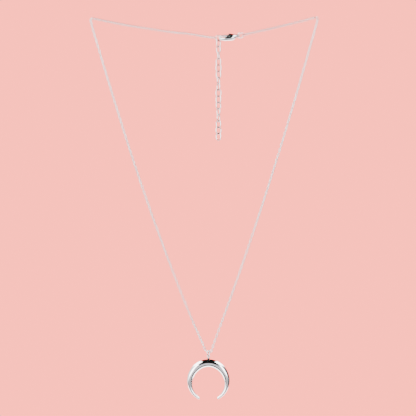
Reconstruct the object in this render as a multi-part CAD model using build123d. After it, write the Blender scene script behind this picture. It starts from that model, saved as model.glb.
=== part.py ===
from build123d import *
import os
from math import cos, sin, tan, radians, hypot

# A silver necklace as it hangs: a crescent pendant, a fine cable chain, a lobster clasp and an extender.
# Millimetres. X runs to the right of someone who faces it, Z is up, and the front faces minus Y.
# The origin lies midway between the two places where the chain goes over what holds it.

# Play between two pieces that hang in one another, and between a moving piece and its seat
PLAY = 0.05

# Fine cable chain, as the round tube that its links fill
CHAIN_WIDTH = 1.15

# Route of the chain as (x, z), to the middle of the bend that holds the pendant. The left half starts at
# its end, from which the catch ring hangs, and the right half at its first point past the clasp's ring.
BEND_MIDDLE = (2.12, -161.30)
LEFT_ROUTE = [
    (5.38, -9.38),
    (1.90, -9.05),
    (-2.60, -8.25),
    (-7.40, -7.35),
    (-14.50, -6.83),
    (-25.00, -5.30),
    (-36.50, -3.45),
    (-45.60, -1.70),
    (-51.30, -0.52),
    (-54.06, 0.05),
    (-54.87, -0.83),
    (-54.25, -3.10),
    (-53.00, -7.60),
    (-50.25, -16.90),
    (-44.60, -35.70),
    (-33.90, -69.90),
    (-21.70, -104.80),
    (-12.60, -128.70),
    (-6.55, -143.80),
    (-2.95, -152.10),
    (-1.05, -156.20),
    (-0.03, -158.55),
    (0.68, -160.62),
    (1.50, -161.30),
    BEND_MIDDLE,
]
RIGHT_ROUTE = [
    (22.40, -7.22),
    (25.20, -6.50),
    (31.00, -5.27),
    (39.60, -3.20),
    (47.30, -1.30),
    (51.75, -0.08),
    (54.08, 0.55),
    (54.93, -0.30),
    (54.38, -2.50),
    (53.15, -6.90),
    (50.40, -16.60),
    (44.85, -36.00),
    (34.30, -71.20),
    (22.20, -108.30),
    (13.35, -133.60),
    (8.20, -147.60),
    (5.60, -154.75),
    (4.30, -158.40),
    (3.56, -160.62),
    (2.74, -161.30),
    BEND_MIDDLE,
]

# Share of the shorter run that each arc of the chain's route takes
ARC_SHARE = 0.45

# Jump rings at the chain's two ends
END_RING_OUTER = 3.10
END_RING_WIRE = 0.45

# Jump ring of the pendant, and its turn about the plumb line, counted from edge on
PENDANT_RING_OUTER = 3.16
PENDANT_RING_WIRE = 0.45
PENDANT_RING_TURN = 22.0

# Crescent: outer radius, section at the top, and the eye and neck above it
CRESCENT_RADIUS = 10.20
CRESCENT_THICKNESS = 3.50
EYE_HOLE_RADIUS = 0.35
EYE_WIRE = 0.36
EYE_RISE = 1.45
NECK_TOP_RADIUS = 0.40
NECK_FOOT_RADIUS = 0.62
NECK_DEPTH = 0.60

# Sections of one arm: degrees from the top, thickness as a share of CRESCENT_THICKNESS
CRESCENT_SECTIONS = [
    (0, 1.00),
    (25, 1.00),
    (50, 0.95),
    (70, 0.85),
    (90, 0.71),
    (110, 0.55),
    (130, 0.41),
    (151, 0.29),
]

# Extender: oval links, each with its turn in degrees about the plumb line, counted from face on
EXTENDER_LINK_LENGTH = 3.95
EXTENDER_LINK_WIDTH = 3.10
EXTENDER_WIRE = 0.45
EXTENDER_TURNS = [46, -48, 74, -35, 20, -37, 65, -62, 22, -33, 37, -60, 62, -40, 28, -37]

# Lobster clasp: rise of its long axis towards the tail, and its roll about that axis, hook side to the back
CLASP_RISE = 8.0
CLASP_ROLL = 50.0

# Clasp body: HOOK_WIRE and HOOK_DEPTH are the hook's section, MOUTH_WIDTH the room inside it, and
# HOOK_SEAT the room between its bend and the ring, whose wire curves past the sides of the bend
CLASP_LENGTH = 10.00
CLASP_WIDTH = 3.60
CLASP_DEPTH = 2.60
HOOK_WIRE = 0.70
HOOK_DEPTH = 0.80
HOOK_SEAT = 0.15
MOUTH_WIDTH = 1.90
NOSE_LENGTH = 1.10
TAIL_HOLE_RADIUS = 0.50
TAIL_WIRE = 0.44
TAIL_DEPTH = 0.90
TAIL_DROP = 0.35
TAIL_ROUND = 0.18
TAIL_SEAT = 0.18

# Lever's pivot: its place from the ring's seat in the hook, its round cheeks and its riveted pin
PIVOT_ALONG = 4.45
PIVOT_ACROSS = -0.10
CHEEK_RADIUS = 1.15
CHEEK_DEPTH = 1.90
CHEEK_ROUND = 0.22
PIN_RADIUS = 0.30
RIVET_STAND = 0.07

# Lever of the clasp: a flat blade on a round hub, with a knob for the thumb
LEVER_DEPTH = 0.80
LEVER_HUB_RADIUS = 0.85
LEVER_TIP_RADIUS = 0.30
LEVER_TIP_ALONG = 1.50
LEVER_ROUND = 0.10
THUMB_ALONG = 4.20
THUMB_ACROSS = 1.50
THUMB_RADIUS = 0.42
THUMB_DEPTH = 1.10
THUMB_STEM_WIDTH = 0.60

# Tilt of the ring in the clasp's tail, about the clasp's long axis
CLASP_RING_TILT = 28.0

# Sections of the clasp's body from its tail to its pivot: share of the way from the ring's seat to the tail's eye,
# place across as a share of CLASP_WIDTH, heading in degrees, and width and depth as shares of CLASP_WIDTH
# and CLASP_DEPTH
CLASP_BODY_SECTIONS = [
    (0.900, -0.11, 182, 0.52, 0.48),
    (0.780, -0.19, 185, 0.82, 0.80),
    (0.590, -0.28, 187, 1.00, 1.00),
    (0.410, -0.40, 190, 0.74, 0.82),
]

# Sections round the hook: degrees round the bend from its back, width and depth as shares of HOOK_WIRE
# and HOOK_DEPTH
CLASP_HOOK_SECTIONS = [
    (-90, 1.75, 1.70),
    (-48, 1.35, 1.30),
    (0, 1.00, 1.00),
    (48, 1.00, 1.05),
    (90, 1.00, 1.15),
]

# Section where the body narrows to the hook: share of the way, heading, width and depth as shares of the hook's
CLASP_SPINE_SECTION = (0.250, 184, 2.25, 2.20)

# Width and depth of the hook's nose, as shares of the hook's
NOSE_SHARES = (0.80, 0.80)


def on_plane(point):
    """The 3-D point of an (x, z) pair, in the plane that the necklace hangs in."""
    return Vector(point[0], 0, point[1])


def unit(start, end):
    """Unit vector from one point to another."""
    return (end - start).normalized()


def route_radii(points):
    """Arc radius at each inner point of a route, as large as the two runs beside it allow."""
    radii = []
    for before, here, after in zip(points, points[1:], points[2:]):
        run_in = here - before
        run_out = after - here
        half_turn = radians(run_in.get_angle(run_out)) / 2
        radii.append(ARC_SHARE * min(run_in.length, run_out.length) / tan(half_turn))
    return radii


def chain_tube(name, points):
    """One half of the chain, as straight runs joined by tangent arcs."""
    radii = route_radii(points)
    path = FilletPolyline(*points, radius=radii)
    section = Plane(origin=path @ 0, z_dir=path % 0) * Circle(CHAIN_WIDTH / 2)
    tube = sweep(section, path=path)
    share = tube.volume / (section.area * path.length)
    print(name, "length", round(path.length, 2), "volume over section times length", round(share, 5))
    print(name, "arc radii", [round(radius, 2) for radius in radii])
    return tube


def round_ring(centre, outer, wire, facing):
    """A jump ring of round wire, soldered shut."""
    return Plane(origin=centre, z_dir=facing) * Torus((outer - wire) / 2, wire / 2)


def oval_link(top, turn):
    """An oval link of the extender that hangs from the point where its top wire's centre lies."""
    end_radius = (EXTENDER_LINK_WIDTH - EXTENDER_WIRE) / 2
    straight = EXTENDER_LINK_LENGTH - EXTENDER_LINK_WIDTH
    upper_z = -end_radius
    lower_z = -end_radius - straight
    path = Wire(
        [
            Line((end_radius, 0, lower_z), (end_radius, 0, upper_z)),
            ThreePointArc((end_radius, 0, upper_z), (0, 0, 0), (-end_radius, 0, upper_z)),
            Line((-end_radius, 0, upper_z), (-end_radius, 0, lower_z)),
            ThreePointArc((-end_radius, 0, lower_z), (0, 0, lower_z - end_radius), (end_radius, 0, lower_z)),
        ]
    )
    section = Plane(origin=path @ 0, z_dir=path % 0) * Circle(EXTENDER_WIRE / 2)
    link = sweep(section, path=path)
    return Pos(*top) * Rot(0, 0, turn) * link


def crescent(eye_centre):
    """The horn with its neck and eye. It hangs plumb under the eye."""
    top = eye_centre - Vector(0, 0, EYE_RISE)
    middle = top - Vector(0, 0, CRESCENT_RADIUS)
    arm = CRESCENT_SECTIONS[1:]
    stations = [(-turn, share) for turn, share in reversed(arm)] + [CRESCENT_SECTIONS[0]] + arm
    sections = []
    for turn, share in stations:
        radius = CRESCENT_THICKNESS * share / 2
        outwards = Vector(sin(radians(turn)), 0, cos(radians(turn)))
        along = Vector(cos(radians(turn)), 0, -sin(radians(turn)))
        centre = middle + outwards * (CRESCENT_RADIUS - radius)
        sections.append(Plane(origin=centre, x_dir=outwards, z_dir=along) * Circle(radius))
    horn = loft(sections)
    for turn, share in (stations[0], stations[-1]):
        radius = CRESCENT_THICKNESS * share / 2
        outwards = Vector(sin(radians(turn)), 0, cos(radians(turn)))
        centre = middle + outwards * (CRESCENT_RADIUS - radius)
        horn += Pos(*centre) * Sphere(radius)
    eye = Plane(origin=eye_centre, z_dir=(0, 1, 0)) * Torus(EYE_HOLE_RADIUS + EYE_WIRE / 2, EYE_WIRE / 2)
    neck_top = EYE_HOLE_RADIUS + EYE_WIRE / 2
    neck_height = EYE_RISE - neck_top + NECK_DEPTH
    neck_middle = eye_centre - Vector(0, 0, neck_top + neck_height / 2)
    neck = Pos(*neck_middle) * Cone(NECK_FOOT_RADIUS, NECK_TOP_RADIUS, neck_height)
    return horn + neck + eye


def clasp_section(along, across, heading, width, depth):
    """An oval section of the clasp's body, square to the way the body runs there."""
    ahead = Vector(cos(radians(heading)), sin(radians(heading)), 0)
    sideways = Vector(-ahead.Y, ahead.X, 0)
    return Plane(origin=(along, across, 0), x_dir=sideways, z_dir=ahead) * Ellipse(width / 2, depth / 2)


def disc(along, across, radius, depth):
    """A round plate across the clasp's own plane."""
    return Pos(along, across, 0) * Cylinder(radius, depth)


def tail_along():
    """How far the middle of the tail's eye lies from the ring's seat."""
    hook_end = END_RING_WIRE / 2 + HOOK_SEAT + HOOK_WIRE
    return CLASP_LENGTH - hook_end - TAIL_HOLE_RADIUS - TAIL_WIRE


def lever_tip_across():
    """Height of the lever's tip, in line with the nose of the hook."""
    return (MOUTH_WIDTH + HOOK_WIRE) / 2


def gate_radius():
    """Reach of the lever's tip from its pivot."""
    return hypot(PIVOT_ALONG - LEVER_TIP_ALONG, lever_tip_across() - PIVOT_ACROSS) + LEVER_TIP_RADIUS


def clasp_body_flat():
    """The clasp's body in its own plane, with the ring's seat in the hook at the origin."""
    half_mouth = MOUTH_WIDTH / 2
    bend_along = half_mouth - END_RING_WIRE / 2 - HOOK_SEAT
    sections = []
    for share, across, heading, width, depth in CLASP_BODY_SECTIONS:
        along = tail_along() * share
        size = (CLASP_WIDTH * width, CLASP_DEPTH * depth)
        sections.append(clasp_section(along, CLASP_WIDTH * across, heading, *size))
    share, heading, width, depth = CLASP_SPINE_SECTION
    spine_width = HOOK_WIRE * width
    across = -half_mouth - spine_width / 2
    sections.append(clasp_section(tail_along() * share, across, heading, spine_width, HOOK_DEPTH * depth))
    for turn, width, depth in CLASP_HOOK_SECTIONS:
        wire = HOOK_WIRE * width
        reach = half_mouth + wire / 2
        along = bend_along - reach * cos(radians(turn))
        across = reach * sin(radians(turn))
        sections.append(clasp_section(along, across, 90 - turn, wire, HOOK_DEPTH * depth))
    width, depth = NOSE_SHARES
    nose = (bend_along + NOSE_LENGTH, lever_tip_across())
    sections.append(clasp_section(*nose, 0, HOOK_WIRE * width, HOOK_DEPTH * depth))
    body = loft(sections)

    cheeks = disc(PIVOT_ALONG, PIVOT_ACROSS, CHEEK_RADIUS, CHEEK_DEPTH)
    body += fillet(cheeks.edges().filter_by(GeomType.CIRCLE), CHEEK_ROUND)

    tail = disc(tail_along(), -TAIL_DROP, TAIL_HOLE_RADIUS + TAIL_WIRE, TAIL_DEPTH)
    body += fillet(tail.edges().filter_by(GeomType.CIRCLE), TAIL_ROUND)
    body -= disc(tail_along(), -TAIL_DROP, TAIL_HOLE_RADIUS, 2 * TAIL_DEPTH)

    slot_depth = LEVER_DEPTH + 2 * PLAY
    slot_back = PIVOT_ALONG + LEVER_HUB_RADIUS + PLAY
    slot_floor = PIVOT_ACROSS - LEVER_HUB_RADIUS - PLAY
    slot_length = slot_back - LEVER_TIP_ALONG
    slot = Box(slot_length, CLASP_WIDTH, slot_depth, align=(Align.MAX, Align.MIN, Align.CENTER))
    body -= Pos(slot_back, slot_floor, 0) * slot

    sweep_room = disc(PIVOT_ALONG, PIVOT_ACROSS, gate_radius() + PLAY, CLASP_DEPTH)
    nose_room = Box(2 * NOSE_LENGTH, CLASP_WIDTH, CLASP_DEPTH, align=(Align.MIN, Align.MIN, Align.CENTER))
    body -= sweep_room & Pos(bend_along, 0, 0) * nose_room

    pin = disc(PIVOT_ALONG, PIVOT_ACROSS, PIN_RADIUS, CHEEK_DEPTH + 2 * RIVET_STAND)
    return body + fillet(pin.edges().filter_by(GeomType.CIRCLE), RIVET_STAND)


def clasp_lever_flat():
    """The lever in the clasp's own plane, shut."""
    hub = Pos(PIVOT_ALONG, PIVOT_ACROSS) * Circle(LEVER_HUB_RADIUS)
    tip = Pos(LEVER_TIP_ALONG, lever_tip_across()) * Circle(LEVER_TIP_RADIUS)
    blade = extrude(make_hull((hub + tip).edges()), LEVER_DEPTH / 2, both=True)
    lever = fillet(blade.edges().filter_by(Axis.Z, reverse=True), LEVER_ROUND)

    thumb = Pos(THUMB_ALONG, THUMB_ACROSS) * Circle(THUMB_STEM_WIDTH / 2)
    foot = Pos(PIVOT_ALONG, PIVOT_ACROSS) * Circle(THUMB_STEM_WIDTH / 2)
    lever += extrude(make_hull((thumb + foot).edges()), LEVER_DEPTH / 2, both=True)
    knob = disc(THUMB_ALONG, THUMB_ACROSS, THUMB_RADIUS, THUMB_DEPTH)
    lever += fillet(knob.edges().filter_by(GeomType.CIRCLE), LEVER_ROUND)
    return lever - disc(PIVOT_ALONG, PIVOT_ACROSS, PIN_RADIUS + PLAY, CLASP_DEPTH)


def save(shape, node):
    """Write one piece under its node's name."""
    shape.label = node
    export_step(shape, f"parts/{node}.step")
    print(node, round(shape.volume, 3), shape.is_valid, len(shape.solids()))


def main():
    os.makedirs("parts", exist_ok=True)

    left_points = [on_plane(pair) for pair in LEFT_ROUTE]
    save(chain_tube("chain_left", left_points), "chain_left")

    end_ring_radius = (END_RING_OUTER - END_RING_WIRE) / 2
    ring_reach = END_RING_OUTER / 2 + PLAY
    catch_centre = left_points[0] + unit(left_points[1], left_points[0]) * ring_reach
    save(round_ring(catch_centre, END_RING_OUTER, END_RING_WIRE, Vector(0, 1, 0)), "catch_ring")

    drop = (END_RING_WIRE + EXTENDER_WIRE) / 2 + PLAY - end_ring_radius
    link_top = catch_centre + Vector(0, 0, drop)
    pitch = EXTENDER_LINK_LENGTH - 2 * EXTENDER_WIRE - PLAY
    for number, turn in enumerate(EXTENDER_TURNS, start=1):
        save(oval_link(link_top, turn), f"extender_link_{number:02d}")
        link_top -= Vector(0, 0, pitch)

    rise = radians(CLASP_RISE)
    roll = radians(CLASP_ROLL)
    along = Vector(cos(rise), 0, sin(rise))
    upright = Vector(-sin(rise), 0, cos(rise))
    front = Vector(0, -1, 0)
    facing = front * cos(roll) + upright * sin(roll)
    clasp_plane = Plane(origin=catch_centre + along * end_ring_radius, x_dir=along, z_dir=facing)
    save(clasp_plane * clasp_body_flat(), "clasp_body")
    save(clasp_plane * clasp_lever_flat(), "clasp_lever")

    ring_seat = tail_along() + TAIL_HOLE_RADIUS - END_RING_WIRE / 2 - TAIL_SEAT
    tail_point = clasp_plane.from_local_coords(Vector(ring_seat, -TAIL_DROP, 0))
    tilt = radians(CLASP_RING_TILT)
    clasp_ring_facing = front * cos(tilt) - upright * sin(tilt)
    clasp_ring_centre = tail_point + along * end_ring_radius
    save(round_ring(clasp_ring_centre, END_RING_OUTER, END_RING_WIRE, clasp_ring_facing), "clasp_ring")

    right_points = [on_plane(pair) for pair in RIGHT_ROUTE]
    ring_middle = on_plane((clasp_ring_centre.X, clasp_ring_centre.Z))
    right_points.insert(0, ring_middle + unit(ring_middle, right_points[0]) * ring_reach)
    save(chain_tube("chain_right", right_points), "chain_right")

    bend = on_plane(BEND_MIDDLE)
    pendant_ring_radius = (PENDANT_RING_OUTER - PENDANT_RING_WIRE) / 2
    top_wire = bend + Vector(0, 0, CHAIN_WIDTH / 2 + PLAY + PENDANT_RING_WIRE / 2)
    turn = radians(PENDANT_RING_TURN)
    ring_facing = Vector(cos(turn), -sin(turn), 0)
    ring_centre = top_wire - Vector(0, 0, pendant_ring_radius)
    save(round_ring(ring_centre, PENDANT_RING_OUTER, PENDANT_RING_WIRE, ring_facing), "pendant_ring")

    bottom_wire = ring_centre - Vector(0, 0, pendant_ring_radius)
    eye_centre = bottom_wire + Vector(0, 0, PENDANT_RING_WIRE / 2 + PLAY - EYE_HOLE_RADIUS)
    save(crescent(eye_centre), "crescent")

    pivot = clasp_plane.from_local_coords(Vector(PIVOT_ALONG, PIVOT_ACROSS, 0))
    print("ring swing at", bend, "about X")
    print("pendant swing at", bottom_wire, "about", Vector(sin(turn), cos(turn), 0))
    print("lever pivot at", pivot, "about", facing)
    print("catch ring at", catch_centre)
    print("clasp ring at", clasp_ring_centre)


main()
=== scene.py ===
from math import cos, sin, pi, radians, tau

import bpy
import numpy as np
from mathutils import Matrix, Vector


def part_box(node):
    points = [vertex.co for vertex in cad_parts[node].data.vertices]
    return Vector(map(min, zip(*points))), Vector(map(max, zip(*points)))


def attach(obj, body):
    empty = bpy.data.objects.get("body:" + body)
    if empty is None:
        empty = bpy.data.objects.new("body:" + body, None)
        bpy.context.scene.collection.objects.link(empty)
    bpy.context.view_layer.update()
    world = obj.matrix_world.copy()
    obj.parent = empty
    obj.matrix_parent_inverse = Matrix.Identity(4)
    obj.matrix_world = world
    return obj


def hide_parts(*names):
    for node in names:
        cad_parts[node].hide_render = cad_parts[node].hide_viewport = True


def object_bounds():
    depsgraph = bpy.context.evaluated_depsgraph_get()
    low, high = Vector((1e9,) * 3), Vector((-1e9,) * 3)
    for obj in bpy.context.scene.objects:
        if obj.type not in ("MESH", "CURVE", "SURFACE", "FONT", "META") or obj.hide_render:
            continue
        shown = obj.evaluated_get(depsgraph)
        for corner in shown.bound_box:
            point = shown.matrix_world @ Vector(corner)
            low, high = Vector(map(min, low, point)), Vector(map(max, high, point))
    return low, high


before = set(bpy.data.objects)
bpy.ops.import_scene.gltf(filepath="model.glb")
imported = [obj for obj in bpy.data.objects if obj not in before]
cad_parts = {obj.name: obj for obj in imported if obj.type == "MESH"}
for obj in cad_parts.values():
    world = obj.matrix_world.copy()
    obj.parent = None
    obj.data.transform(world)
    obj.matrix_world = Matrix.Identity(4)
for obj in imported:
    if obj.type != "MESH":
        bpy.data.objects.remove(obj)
cad_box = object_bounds()

# A silver necklace as it hangs: a crescent on a jump ring, a fine cable chain, a lobster clasp, an extender.
# Metres. The front faces minus Y and Z is up.

# Route of each half of the fine chain as (x, z): control points of a curve to the middle of the bend.
# The left half starts at the catch ring, and the right half at its first point past the clasp's ring.
BEND_MIDDLE = (0.00212, -0.16112)
LEFT_ROUTE = [
    (0.00538, -0.00938),
    (0.00190, -0.00905),
    (-0.00260, -0.00825),
    (-0.00740, -0.00735),
    (-0.01450, -0.00683),
    (-0.02500, -0.00530),
    (-0.03650, -0.00345),
    (-0.04560, -0.00170),
    (-0.05130, -0.00052),
    (-0.05406, 0.00005),
    (-0.05487, -0.00083),
    (-0.05425, -0.00310),
    (-0.05300, -0.00760),
    (-0.05025, -0.01690),
    (-0.04460, -0.03570),
    (-0.03390, -0.06990),
    (-0.02170, -0.10480),
    (-0.01260, -0.12870),
    (-0.00655, -0.14380),
    (-0.00295, -0.15210),
    (-0.00105, -0.15620),
    (-0.00003, -0.15855),
    (0.00060, -0.16037),
    (0.00132, -0.16112),
    BEND_MIDDLE,
]
RIGHT_ROUTE = [
    (0.02240, -0.00722),
    (0.02520, -0.00650),
    (0.03100, -0.00527),
    (0.03960, -0.00320),
    (0.04730, -0.00130),
    (0.05175, -0.00008),
    (0.05408, 0.00055),
    (0.05493, -0.00030),
    (0.05438, -0.00250),
    (0.05315, -0.00690),
    (0.05040, -0.01660),
    (0.04485, -0.03600),
    (0.03430, -0.07120),
    (0.02220, -0.10830),
    (0.01335, -0.13360),
    (0.00820, -0.14760),
    (0.00560, -0.15475),
    (0.00430, -0.15840),
    (0.00364, -0.16037),
    (0.00292, -0.16112),
    BEND_MIDDLE,
]

# Steps of the curve from one control point to the next
CURVE_STEPS = 32

# From the middle of the clasp's ring to the right half's end: the ring's outer radius and the play
RING_REACH = 0.00160

# One link of the fine chain, and its wire
LINK_LENGTH = 0.00199
LINK_WIDTH = 0.00115
LINK_WIRE = 0.00033
LINK_PITCH = 0.00135
LINK_ROUND_STEPS = 7
LINK_WIRE_SIDES = 10

# Distance from the tube's end to the middle of the first link, which hooks into the ring there
FIRST_LINK_IN = 0.00017

# Turn of the links about their chain: at the catch ring, at the clasp's tilted ring, and at the bend
LEFT_FIRST_TURN = 0.0
RIGHT_FIRST_TURN = radians(28.0)
BEND_TURN = pi / 2

# Slow twist of the chain along its length: degrees, waves a metre and phase of each part
TWIST_WAVES = [(14.0, 21.0, 0.6), (9.0, 47.0, 2.1), (6.0, 93.0, 4.0)]

# Length over which the twist grows from nothing at each end
TWIST_FADE = 0.006

# Polish of the silver: soft clouds that are a little darker and duller
CLOUD_SCALE = 900.0
CLOUD_BAND = (0.45, 0.75)
CLOUD_TINT = (0.86, 0.85, 0.84)
CLOUD_TINT_SHARE = 0.35
CLOUD_ROUGHNESS = 0.03

# Hairlines, which run along X, and how high they stand beside the dents
HAIRLINE_STRETCH = (1.0, 9.0, 14.0)
HAIRLINE_SCALE = 1400.0
HAIRLINE_BAND = (0.52, 0.78)
HAIRLINE_HEIGHT = 0.08

# Small dents left by the polishing wheel
DENT_SCALE = 420.0
DENT_DEPTH = 0.00004

# Painted shade on the silver, near-black, for shade and dark reflections, and how much duller it is there
PAINTED_SHADE_COLOUR = (0.022, 0.021, 0.020, 1.0)
PAINTED_SHADE_ROUGHNESS = 0.15

# Painted shade, the same near-black, where the fine chain's links rub on each other
SEAT_PAINTED_SHADE_BAND = (0.15, 0.75)
SEAT_PAINTED_SHADE_ROUGHNESS = 0.22

# Painted shade and reflection on the crescent's neck, with some solder film there: the neck's axis, top and
# radius
JOINT_MIDDLE = 0.00212
JOINT_TOP = -0.16380
JOINT_RADIUS = 0.00060

# The horn's top, how far that painted shade spreads over it, and how softly it ends
HORN_TOP = -0.16468
JOINT_SPREAD = 0.00060
JOINT_FADE = 0.00035

# Places where something hangs in the pendant's ring, in the catch ring and in the clasp's ring
RING_CONTACTS = [
    (0.00212, 0.0, -0.16062),
    (0.00212, 0.0, -0.16300),
    (0.00565, 0.0, -0.00941),
    (0.00697, 0.0, -0.01075),
    (0.00829, 0.0, -0.00934),
    (0.01631, -0.00027, -0.00844),
    (0.01891, -0.00027, -0.00794),
]

# Distance from such a place at which its painted shade starts to fade, and at which it ends
CONTACT_PAINTED_SHADE_EDGE = (0.00032, 0.00064)

# Extender: the upright line that it hangs on, its first seat, and the pitch of its links
EXTENDER_MIDDLE = 0.006973
EXTENDER_SEAT = -0.010606
EXTENDER_PITCH = 0.00300

# Painted shade in its links, by the beat along the line, which is 1 at a seat, and by the distance off the
# line
EXTENDER_PAINTED_SHADE_BEAT = (0.54, 0.84)
EXTENDER_PAINTED_SHADE_EDGE = (0.00064, 0.00104)

# Painted shade and reflection round the clasp's rivet: the lever's pivot, its axis, and where the painted
# shade starts and ends
LEVER_PIVOT = (0.0127006, -0.0000766, -0.0087910)
LEVER_AXIS = (-0.106613, -0.642788, 0.758589)
RIVET_PAINTED_SHADE_INNER = 0.00060
RIVET_PAINTED_SHADE_OUTER = 0.00125
RIVET_PAINTED_SHADE_FADE = 0.00035

# Camera level in front of the necklace, at the photo's angle
CAMERA_LENS = 100.0
CAMERA_SENSOR = 36.0
CAMERA_DISTANCE = 0.558
CAMERA_AIM = (0.0019, 0.0, -0.0916)

# Floor under the hanging necklace
FLOOR_DROP = 0.415
FLOOR_RADIUS = 1.45
FLOOR_SIDES = 96
FLOOR_FADE_START = 0.55
FLOOR_ROUGHNESS = 0.9

# Colours of the studio, part by part
BACKDROP_COLOUR = (4.35, 0.78, 0.60, 1.0)
FLOOR_COLOUR = (0.92, 0.22, 0.18, 1.0)
LAMP_COLOUR = (9.0, 9.0, 9.0, 1.0)
LAMP_BACK_COLOUR = (1.8, 1.8, 1.8, 1.0)
ROOM_COLOUR = (0.90, 0.89, 0.92, 1.0)
FLAG_COLOUR = (0.008, 0.008, 0.008, 1.0)
HOOD_COLOUR = (0.20, 0.20, 0.21, 1.0)
TABLE_COLOUR = (1.12, 1.08, 1.16, 1.0)
NEAR_SIDE_COLOUR = (0.47, 0.47, 0.49, 1.0)
SHADE_COLOUR = (0.12, 0.12, 0.125, 1.0)
DARK_SIDE_COLOUR = (0.13, 0.13, 0.14, 1.0)
WALL_COLOUR = (7.0, 6.9, 6.8, 1.0)

# The studio's parts are set by direction as the pendant sees them, and each pair is a soft edge.
# Front is 1 at the lens and minus 1 behind the pendant. Up is 1 over the lens, 0 beside it, minus 1 under it.
# Back and down are the same two turned round. Right is plus X, as in the photo.

# The lens above level, its edge, and a little that keeps up from a division by zero at its middle
LENS_RISE = radians(8.4)
LENS_EDGE = (0.990, 0.996)
LEAST_REACH = 0.0001

# Dark flag over the lens: its lean to the right, its sides, and how it widens twice towards the lens
FLAG_LEAN = radians(0.8)
FLAG_EDGE = (0.902, 0.940)
FLAG_WIDER_FRONT = (0.42, 0.72)
FLAG_WIDER_BY = 0.24
FLAG_WIDEST_FRONT = (0.84, 1.02)
FLAG_WIDEST_BY = 0.27

# Its low right corner, clockwise from straight up
FLAG_CORNER = radians(35.0)
FLAG_CORNER_EDGE = (0.925, 0.955)
FLAG_CORNER_FRONT = (0.48, 0.62)

# Grey hood round the lens, and its share where it is fainter, under the lens
HOOD_FRONT = (0.905, 0.965)
HOOD_UP = (-0.50, -0.10)
HOOD_LOW_SHARE = 0.4

# Below the lens: shade, lighter near the lens, with a table in front and a bright wall behind
BELOW_DOWN = (0.05, 0.20)
NEAR_SIDE_FRONT = (0.43, 0.64)
TABLE_DOWN = (0.78, 0.90)
TABLE_FRONT = (0.42, 0.62)
WALL_BACK = (0.18, 0.50)

# Feet of the two lamps, which drop near the lens
LAMP_FOOT = 0.31
LAMP_FOOT_DROP = 0.33
LAMP_FOOT_FRONT = (0.75, 0.95)
LAMP_FOOT_EDGE = (-0.04, 0.05)

# The lamps' edge at the lens and its lean, and where their bright faces and heads are
LAMP_LENS_EDGE = (0.885, 0.960)
LAMP_LENS_LEAN = 0.06
LAMP_FACE_FRONT = (0.30, 0.52)
LAMP_HEAD_UP = (0.58, 0.74)

# Dark side to the right, behind the lamp: its near edge, which comes furthest forward at middle height
DARK_SIDE_X = (0.0, 0.1)
DARK_SIDE_EDGE = (-0.50, -0.36)
DARK_SIDE_WIDER_UP = (-0.40, -0.20)
DARK_SIDE_WIDER_BY = 0.24
DARK_SIDE_NARROWER_UP = (0.14, 0.36)
DARK_SIDE_NARROWER_BY = 0.10

# Its top and its foot
DARK_SIDE_TOP_UP = (0.54, 0.70)
DARK_SIDE_FOOT_DOWN = (0.32, 0.48)


class Socket:
    """An output of a node tree. Arithmetic with it adds nodes."""

    def __init__(self, paint, output):
        self.paint = paint
        self.output = output

    def __add__(self, other):
        return self.paint.math("ADD", self, other)

    def __radd__(self, other):
        return self.paint.math("ADD", other, self)

    def __sub__(self, other):
        return self.paint.math("SUBTRACT", self, other)

    def __rsub__(self, other):
        return self.paint.math("SUBTRACT", other, self)

    def __mul__(self, other):
        return self.paint.math("MULTIPLY", self, other)

    def __rmul__(self, other):
        return self.paint.math("MULTIPLY", other, self)

    def __truediv__(self, other):
        return self.paint.math("DIVIDE", self, other)

    def __rtruediv__(self, other):
        return self.paint.math("DIVIDE", other, self)

    def __neg__(self):
        return self.paint.math("MULTIPLY", self, -1.0)


class Paint:
    """The node tree of one material or of the world."""

    # Places of a mix's two colours and of its result
    FIRST_COLOUR = 6
    SECOND_COLOUR = 7
    MIXED_COLOUR = 2

    def __init__(self, tree):
        self.tree = tree
        tree.nodes.clear()

    def add(self, kind, settings=None, values=None, output=0):
        """Adds a node: its settings first, then the values or links of its sockets."""
        node = self.tree.nodes.new(kind)
        for name, value in (settings or {}).items():
            setattr(node, name, value)
        for name, value in (values or {}).items():
            if isinstance(value, Socket):
                self.tree.links.new(value.output, node.inputs[name])
            else:
                node.inputs[name].default_value = value
        return Socket(self, node.outputs[output]) if len(node.outputs) else None

    def math(self, operation, *values):
        """Arithmetic on one or two numbers."""
        return self.add("ShaderNodeMath", {"operation": operation}, dict(enumerate(values)))

    def vector(self, operation, *values, output="Vector"):
        """Arithmetic on one or two vectors."""
        return self.add("ShaderNodeVectorMath", {"operation": operation}, dict(enumerate(values)), output)

    def split(self, vector):
        """The three parts of a vector."""
        node = self.add("ShaderNodeSeparateXYZ", values={"Vector": vector}).output.node
        return [Socket(self, output) for output in node.outputs]

    def root(self, value):
        """The square root of a number."""
        return self.math("SQRT", value)

    def wave(self, angle):
        """The cosine of an angle."""
        return self.math("COSINE", angle)

    def smooth(self, value, low, high):
        """0 below low, 1 above high, smooth between them."""
        settings = {"interpolation_type": "SMOOTHSTEP"}
        return self.add("ShaderNodeMapRange", settings, {"Value": value, "From Min": low, "From Max": high})

    def mix(self, share, first, second):
        """A colour between two colours."""
        values = {"Factor": share, self.FIRST_COLOUR: first, self.SECOND_COLOUR: second}
        return self.add("ShaderNodeMix", {"data_type": "RGBA"}, values, output=self.MIXED_COLOUR)

    def noise(self, vector, scale, detail):
        """Noise about 0.5 over a vector."""
        return self.add("ShaderNodeTexNoise", values={"Vector": vector, "Scale": scale, "Detail": detail})


def off_upright(paint, x, y, middle):
    """Distance from the upright line at x = middle and y = 0."""
    aside = x - middle
    return paint.root(aside * aside + y * y)


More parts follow.
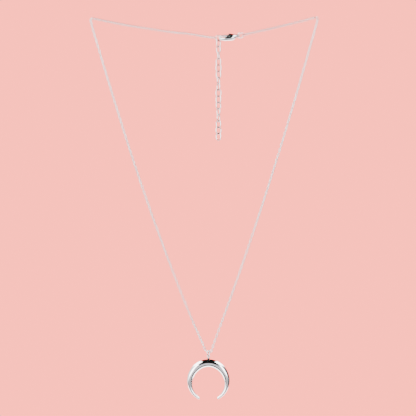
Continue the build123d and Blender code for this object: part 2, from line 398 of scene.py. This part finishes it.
def solder_film_and_painted_shade(paint, place):
    """Painted shade and reflection over some solder film: 1 on the neck and round its foot on the horn."""
    x, y, z = paint.split(place)
    down = -z
    below_eye = paint.smooth(down, -JOINT_TOP, JOINT_FADE - JOINT_TOP)
    on_horn = paint.smooth(down, -HORN_TOP - JOINT_FADE, -HORN_TOP)
    off_neck = off_upright(paint, x, y, JOINT_MIDDLE) - on_horn * JOINT_SPREAD
    outside = paint.smooth(off_neck, JOINT_RADIUS, JOINT_RADIUS + JOINT_FADE)
    in_core = paint.smooth(down, JOINT_SPREAD - HORN_TOP, JOINT_SPREAD + JOINT_FADE - HORN_TOP)
    return (1.0 - outside) * below_eye * (1.0 - in_core)


def ring_painted_shade(paint, place):
    """Painted shade on the jump rings: 1 where something hangs in one of them."""
    clear = 1.0
    for contact in RING_CONTACTS:
        away = paint.vector("DISTANCE", place, contact, output="Value")
        clear = clear * paint.smooth(away, *CONTACT_PAINTED_SHADE_EDGE)
    return 1.0 - clear


def link_painted_shade(paint, place):
    """Painted shade inside the extender's links, where each hangs in the one above it."""
    x, y, z = paint.split(place)
    beat = paint.wave((z - EXTENDER_SEAT) * (tau / EXTENDER_PITCH))
    outside = paint.smooth(off_upright(paint, x, y, EXTENDER_MIDDLE), *EXTENDER_PAINTED_SHADE_EDGE)
    return paint.smooth(beat, *EXTENDER_PAINTED_SHADE_BEAT) * (1.0 - outside)


def rivet_painted_shade(paint, place):
    """Painted shade and reflection on the clasp's cheeks round the rivet's bright head, and on the lever's
    hub.
    """
    across = paint.vector("CROSS_PRODUCT", paint.vector("SUBTRACT", place, LEVER_PIVOT), LEVER_AXIS)
    off_axis = paint.vector("LENGTH", across, output="Value")
    past_head = paint.smooth(off_axis, RIVET_PAINTED_SHADE_INNER, RIVET_PAINTED_SHADE_INNER + RIVET_PAINTED_SHADE_FADE)
    outside = paint.smooth(off_axis, RIVET_PAINTED_SHADE_OUTER, RIVET_PAINTED_SHADE_OUTER + RIVET_PAINTED_SHADE_FADE)
    return past_head * (1.0 - outside)


def silver(name, colour, roughness, hairline, dent, painted_shade_at=None, seat_attribute=False):
    """Polished silver with fine hairlines and small dents, and dull near-black painted shade in its places.
    """
    material = bpy.data.materials.new(name)
    material.use_nodes = True
    paint = Paint(material.node_tree)
    place = paint.add("ShaderNodeTexCoord", output="Object")
    stretched = paint.add("ShaderNodeMapping", values={"Vector": place, "Scale": HAIRLINE_STRETCH})
    streak = paint.noise(stretched, HAIRLINE_SCALE, detail=4.0)
    cloud = paint.smooth(paint.noise(place, CLOUD_SCALE, detail=3.0), *CLOUD_BAND)
    cloud_colour = [part * share for part, share in zip(colour, CLOUD_TINT)]
    tint = paint.mix(cloud * CLOUD_TINT_SHARE, (*colour, 1.0), (*cloud_colour, 1.0))
    rough = roughness + cloud * CLOUD_ROUGHNESS + paint.smooth(streak, *HAIRLINE_BAND) * hairline
    if seat_attribute:
        # Painted shade: near-black where a neighbour link bears on this one.
        seat = paint.add("ShaderNodeAttribute", {"attribute_name": "seat"}, output="Fac")
        tint = paint.mix(paint.smooth(seat, *SEAT_PAINTED_SHADE_BAND), tint, PAINTED_SHADE_COLOUR)
        rough = rough + seat * SEAT_PAINTED_SHADE_ROUGHNESS
    # Painted shade: near-black where the mask function puts it.
    if painted_shade_at:
        painted_shade = painted_shade_at(paint, place)
        tint = paint.mix(painted_shade, tint, PAINTED_SHADE_COLOUR)
        rough = rough + painted_shade * PAINTED_SHADE_ROUGHNESS
    height = paint.noise(place, DENT_SCALE, detail=2.0) + streak * HAIRLINE_HEIGHT
    bump = paint.add("ShaderNodeBump", values={"Strength": dent, "Distance": DENT_DEPTH, "Height": height})
    finish = {"Base Color": tint, "Metallic": 1.0, "Roughness": rough, "Normal": bump}
    shader = paint.add("ShaderNodeBsdfPrincipled", values=finish)
    paint.add("ShaderNodeOutputMaterial", values={"Surface": shader})
    return material


def make_piece(name, points, faces, material):
    """A smooth mesh object from arrays of points and faces, which the silver doesn't mirror."""
    mesh = bpy.data.meshes.new(name)
    mesh.from_pydata(points.tolist(), [], faces.tolist())
    mesh.polygons.foreach_set("use_smooth", [True] * len(mesh.polygons))
    mesh.materials.append(material)
    mesh.update()
    piece = bpy.data.objects.new(name, mesh)
    bpy.context.scene.collection.objects.link(piece)
    piece.visible_glossy = False
    return piece


def smooth_line(name, route):
    """Points along the smooth curve that has the route as its control points."""
    data = bpy.data.curves.new(name, "CURVE")
    data.dimensions = "3D"
    data.resolution_u = CURVE_STEPS
    spline = data.splines.new("NURBS")
    spline.points.add(len(route) - 1)
    for point, (x, z) in zip(spline.points, route):
        point.co = (x, 0.0, z, 1.0)
    spline.order_u = 3
    spline.use_endpoint_u = True
    curve = bpy.data.objects.new(name, data)
    bpy.context.scene.collection.objects.link(curve)
    line = bpy.data.meshes.new_from_object(curve)
    points = np.array([vertex.co[:] for vertex in line.vertices])
    bpy.data.objects.remove(curve)
    bpy.data.meshes.remove(line)
    return points


class Line:
    """A curve read by arc length."""

    def __init__(self, points):
        steps = np.linalg.norm(np.diff(points, axis=0), axis=1)
        self.points = points
        self.along = np.concatenate([[0.0], np.cumsum(steps)])
        self.length = self.along[-1]

    def at(self, distance):
        """The point at a distance from the start, straight on past either end."""
        if distance < 0.0:
            ahead = (self.points[1] - self.points[0]) / (self.along[1] - self.along[0])
            return self.points[0] + ahead * distance
        if distance > self.length:
            ahead = (self.points[-1] - self.points[-2]) / (self.along[-1] - self.along[-2])
            return self.points[-1] + ahead * (distance - self.length)
        return np.array([np.interp(distance, self.along, self.points[:, axis]) for axis in range(3)])


def ring_exit():
    """The right half's end as (x, z), on its way to the middle of the clasp's ring."""
    low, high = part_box("clasp_ring")
    middle = Vector(((low[0] + high[0]) / 2, (low[2] + high[2]) / 2))
    away = (Vector(RIGHT_ROUTE[0]) - middle).normalized()
    return tuple(middle + away * RING_REACH)


def link_template():
    """One oval link about the origin: points, faces, and how far each point is a seat for its neighbour,
    which sets its painted shade.
    """
    bend = (LINK_WIDTH - LINK_WIRE) / 2
    half_straight = (LINK_LENGTH - LINK_WIDTH) / 2
    path = []
    for end in (1, -1):
        for step in range(LINK_ROUND_STEPS + 1):
            angle = pi * step / LINK_ROUND_STEPS - end * pi / 2
            path.append((end * half_straight + bend * cos(angle), bend * sin(angle), cos(angle), sin(angle)))
    points = []
    seats = []
    for along, across, out_along, out_across in path:
        for side in range(LINK_WIRE_SIDES):
            turn = tau * side / LINK_WIRE_SIDES
            out = cos(turn) * LINK_WIRE / 2
            lift = sin(turn) * LINK_WIRE / 2
            points.append((along + out * out_along, across + out * out_across, lift))
            seats.append(out_along**2 * max(0.0, -cos(turn)))
    rows = len(path)
    faces = []
    for row in range(rows):
        here = row * LINK_WIRE_SIDES
        after = (row + 1) % rows * LINK_WIRE_SIDES
        for side in range(LINK_WIRE_SIDES):
            beside = (side + 1) % LINK_WIRE_SIDES
            faces.append((here + side, after + side, after + beside, here + beside))
    return np.array(points), np.array(faces), np.array(seats)


def twist_at(distance, length):
    """Slow twist of the chain in radians, none at its two ends."""
    fade = min(1.0, distance / TWIST_FADE, (length - distance) / TWIST_FADE)
    waves = sum(size * sin(tau * rate * distance + phase) for size, rate, phase in TWIST_WAVES)
    return radians(waves * max(0.0, fade))


def fine_chain(name, node, route, first_turn, material, bend_link=False):
    """The links of one half of the chain, each turned a quarter from the one before it.

    The link in the middle of the bend lies level, and only one of the halves has it.
    """
    line = Line(smooth_line(name + "_line", route))
    span = line.length - FIRST_LINK_IN
    count = round(span / LINK_PITCH)
    pitch = span / count
    total = count + 1 if bend_link else count
    template, faces, seats = link_template()
    back = np.array((0.0, 1.0, 0.0))
    all_points = []
    all_faces = []
    for number in range(total):
        distance = FIRST_LINK_IN + number * pitch
        along = line.at(distance + pitch / 2) - line.at(distance - pitch / 2)
        if number == count:
            along = np.array((along[0], 0.0, 0.0))
        along = along / np.linalg.norm(along)
        upright = np.cross(along, back)
        drift = first_turn + (BEND_TURN - first_turn) * number / count
        turn = pi / 2 * number + drift + twist_at(distance, line.length)
        across = cos(turn) * back + sin(turn) * upright
        axes = np.stack([along, across, np.cross(along, across)])
        all_points.append(template @ axes + line.at(distance))
        all_faces.append(faces + number * len(template))
    piece = make_piece(name, np.concatenate(all_points), np.concatenate(all_faces), material)
    # Each link's seat sets where its painted shade darkens it.
    seat = piece.data.attributes.new("seat", "FLOAT", "POINT")
    seat.data.foreach_set("value", np.tile(seats, total).astype(np.float32))
    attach(piece, "necklace")
    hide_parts(node)


def dress_nodes(finishes):
    """Gives each CAD node that shows its own finish."""
    for node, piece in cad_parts.items():
        for prefix, material in finishes.items():
            if node.startswith(prefix):
                piece.data.materials.clear()
                piece.data.materials.append(material)


def lower_room(paint, front, down):
    """Colours below the lens: shade, lighter near the lens, a table in front and a bright wall behind."""
    colour = paint.mix(paint.smooth(front, *NEAR_SIDE_FRONT), SHADE_COLOUR, NEAR_SIDE_COLOUR)
    table = paint.smooth(down, *TABLE_DOWN) * paint.smooth(front, *TABLE_FRONT)
    colour = paint.mix(table, colour, TABLE_COLOUR)
    return paint.mix(paint.smooth(-front, *WALL_BACK), colour, WALL_COLOUR)


def two_lamps(paint, front, up):
    """Where the lamps show, from the flag to their feet, and their colour. Their heads reach far back."""
    foot = paint.smooth(front, *LAMP_FOOT_FRONT) * LAMP_FOOT_DROP + LAMP_FOOT
    at_lens = paint.smooth(front + up * LAMP_LENS_LEAN, *LAMP_LENS_EDGE)
    lamp = paint.smooth(up + foot, *LAMP_FOOT_EDGE) * (1.0 - at_lens)
    colour = paint.mix(paint.smooth(up, *LAMP_HEAD_UP), LAMP_BACK_COLOUR, LAMP_COLOUR)
    return lamp, paint.mix(paint.smooth(front, *LAMP_FACE_FRONT), colour, LAMP_COLOUR)


def right_dark_side(paint, x, front, up, down):
    """Where the dark side shows, to the right and behind the lamp."""
    forward = paint.smooth(up, *DARK_SIDE_WIDER_UP) * DARK_SIDE_WIDER_BY
    forward = forward - paint.smooth(up, *DARK_SIDE_NARROWER_UP) * DARK_SIDE_NARROWER_BY
    side = paint.smooth(x, *DARK_SIDE_X) * paint.smooth(forward - front, *DARK_SIDE_EDGE)
    above_top = paint.smooth(up, *DARK_SIDE_TOP_UP)
    below_foot = paint.smooth(down, *DARK_SIDE_FOOT_DOWN)
    return side * (1.0 - above_top) * (1.0 - below_foot)


def dark_flag(paint, x, front, height, reach):
    """Where the flag and its low right corner show, over the lens and between the lamps."""
    flag_up = (height * cos(FLAG_LEAN) + x * sin(FLAG_LEAN)) / reach
    wider = paint.smooth(front, *FLAG_WIDER_FRONT) * FLAG_WIDER_BY
    wider = wider + paint.smooth(front, *FLAG_WIDEST_FRONT) * FLAG_WIDEST_BY
    flag = paint.smooth(flag_up + wider, *FLAG_EDGE)
    corner_up = (height * cos(FLAG_CORNER) + x * sin(FLAG_CORNER)) / reach
    corner = paint.smooth(corner_up, *FLAG_CORNER_EDGE) * paint.smooth(front, *FLAG_CORNER_FRONT)
    return flag, corner


def make_world():
    """Studio light by direction, as a mirror at the pendant's place would show it.

    Its parts lie over each other in the order of the list below. The camera sees only the backdrop.
    """
    world = bpy.data.worlds.new("studio")
    bpy.context.scene.world = world
    world.use_nodes = True
    paint = Paint(world.node_tree)
    x, y, z = paint.split(paint.add("ShaderNodeTexCoord", output="Generated"))
    front = z * sin(LENS_RISE) - y * cos(LENS_RISE)
    height = z * cos(LENS_RISE) + y * sin(LENS_RISE)
    reach = paint.root(x * x + height * height + LEAST_REACH)
    up = height / reach
    down = -up
    lamp, lamp_colour = two_lamps(paint, front, up)
    hood_share = paint.smooth(up, *HOOD_UP) * (1.0 - HOOD_LOW_SHARE) + HOOD_LOW_SHARE
    flag, corner = dark_flag(paint, x, front, height, reach)
    colour = ROOM_COLOUR
    for share, part_colour in [
        (paint.smooth(down, *BELOW_DOWN), lower_room(paint, front, down)),
        (lamp, lamp_colour),
        (right_dark_side(paint, x, front, up, down), DARK_SIDE_COLOUR),
        (paint.smooth(front, *HOOD_FRONT) * hood_share, HOOD_COLOUR),
        (flag, FLAG_COLOUR),
        (corner, FLAG_COLOUR),
        (paint.smooth(front, *LENS_EDGE), FLAG_COLOUR),
        (paint.add("ShaderNodeLightPath", output="Is Camera Ray"), BACKDROP_COLOUR),
    ]:
        colour = paint.mix(share, colour, part_colour)
    background = paint.add("ShaderNodeBackground", values={"Color": colour})
    paint.add("ShaderNodeOutputWorld", values={"Surface": background})


def make_floor():
    """A round pale floor that fades out at its rim."""
    material = bpy.data.materials.new("floor")
    material.use_nodes = True
    paint = Paint(material.node_tree)
    x, y, _ = paint.split(paint.add("ShaderNodeTexCoord", output="Object"))
    shown = 1.0 - paint.smooth(paint.root(x * x + y * y), FLOOR_FADE_START, FLOOR_RADIUS)
    finish = {
        "Base Color": FLOOR_COLOUR,
        "Roughness": FLOOR_ROUGHNESS,
        "Specular IOR Level": 0.0,
        "Alpha": shown,
    }
    shader = paint.add("ShaderNodeBsdfPrincipled", values=finish)
    paint.add("ShaderNodeOutputMaterial", values={"Surface": shader})
    level = cad_box[0].z - FLOOR_DROP
    turns = [tau * side / FLOOR_SIDES for side in range(FLOOR_SIDES)]
    rim = np.array([(FLOOR_RADIUS * cos(turn), FLOOR_RADIUS * sin(turn), level) for turn in turns])
    floor = make_piece("floor", rim, np.array([range(FLOOR_SIDES)]), material)


def make_camera():
    """The camera level in front of the necklace."""
    data = bpy.data.cameras.new("camera")
    data.lens = CAMERA_LENS
    data.sensor_width = CAMERA_SENSOR
    camera = bpy.data.objects.new("camera", data)
    camera.location = Vector(CAMERA_AIM) - Vector((0.0, CAMERA_DISTANCE, 0.0))
    camera.rotation_euler = (pi / 2, 0.0, 0.0)
    bpy.context.scene.collection.objects.link(camera)
    bpy.context.scene.camera = camera


make_camera()

# Finishes of the crescent, the jump rings, the extender, the fine chain and the clasp
# Each finish carries painted shade, near-black where parts touch, round the crescent's neck and round the
# clasp's rivet.
mirror_silver = silver(
    "mirror_silver", (0.93, 0.925, 0.92), roughness=0.055, hairline=0.05, dent=0.10, painted_shade_at=solder_film_and_painted_shade
)
wire_silver = silver(
    "wire_silver", (0.90, 0.895, 0.885), roughness=0.08, hairline=0.06, dent=0.12, painted_shade_at=ring_painted_shade
)
extender_silver = silver(
    "extender_silver", (0.95, 0.955, 0.95), roughness=0.08, hairline=0.06, dent=0.12, painted_shade_at=link_painted_shade
)
link_silver = silver(
    "link_silver", (0.70, 0.715, 0.715), roughness=0.09, hairline=0.05, dent=0.10, seat_attribute=True
)
cast_silver = silver(
    "cast_silver", (0.80, 0.80, 0.805), roughness=0.15, hairline=0.06, dent=0.20, painted_shade_at=rivet_painted_shade
)

fine_chain("fine_chain_left", "chain_left", LEFT_ROUTE, LEFT_FIRST_TURN, link_silver, bend_link=True)
fine_chain("fine_chain_right", "chain_right", [ring_exit(), *RIGHT_ROUTE], RIGHT_FIRST_TURN, link_silver)
dress_nodes(
    {
        "crescent": mirror_silver,
        "pendant_ring": wire_silver,
        "catch_ring": wire_silver,
        "clasp_ring": wire_silver,
        "extender_link": extender_silver,
        "clasp_body": cast_silver,
        "clasp_lever": cast_silver,
    }
)

make_world()
make_floor()
